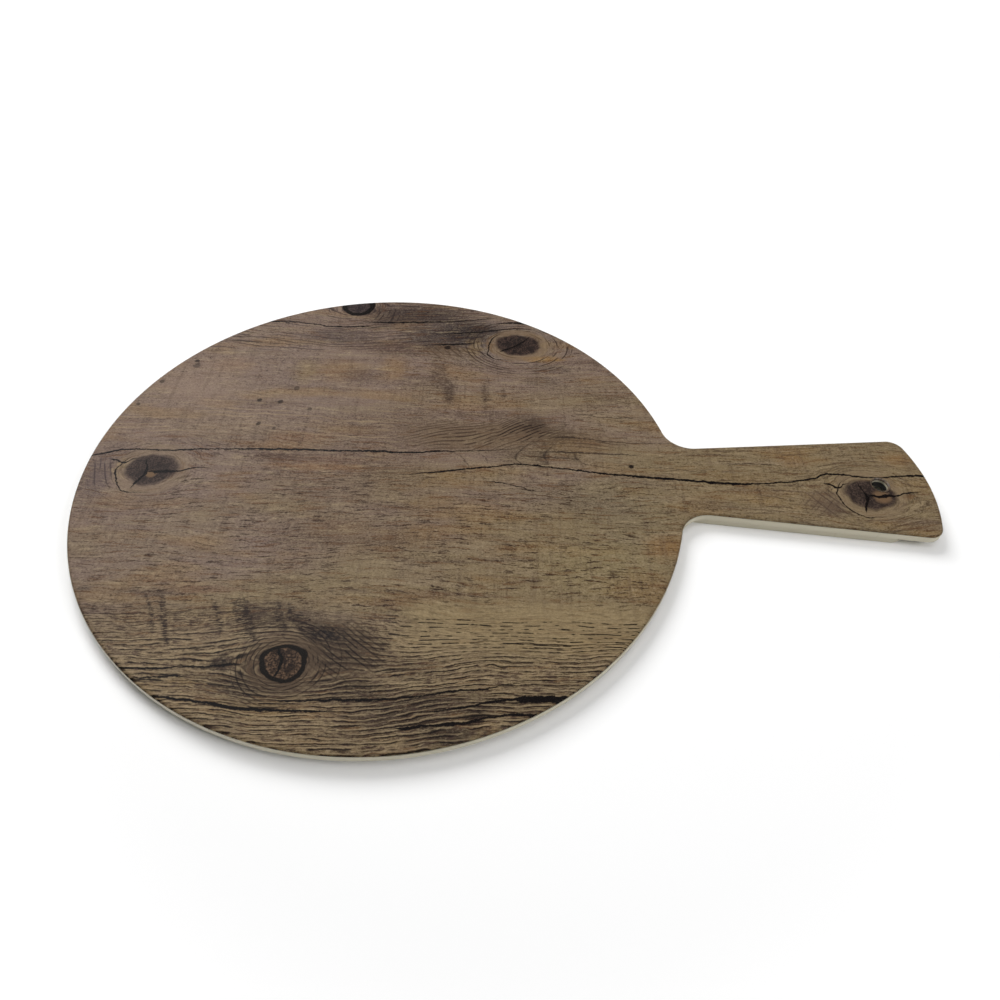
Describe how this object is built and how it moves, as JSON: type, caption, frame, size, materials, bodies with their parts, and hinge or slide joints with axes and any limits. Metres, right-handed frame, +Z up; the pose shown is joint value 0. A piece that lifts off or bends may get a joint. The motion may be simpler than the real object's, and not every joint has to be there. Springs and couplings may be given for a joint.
{
  "type": "serving board",
  "caption": "Round flat serving board with a flared paddle handle, hang hole, wood-effect printed top and a low foot rim underneath.",
  "frame": {"origin": "on the table, below the middle of the board's overall length and width", "axes": "+X along the handle towards its tip, +Y across the board to the left of that, +Z up out of the printed face"},
  "size_m": [0.431, 0.3, 0.009],
  "materials": {
    "cream_melamine": "smooth moulded, soft gloss",
    "wood_print": "weathered oak print with cracks and knots, sealed in resin",
    "clear_resin": "clear satin"
  },
  "bodies": {
    "root": {"melamine_board": "cream_melamine", "printed_sheet": "wood_print", "clear_overlay": "clear_resin"}
  },
  "joints": []
}
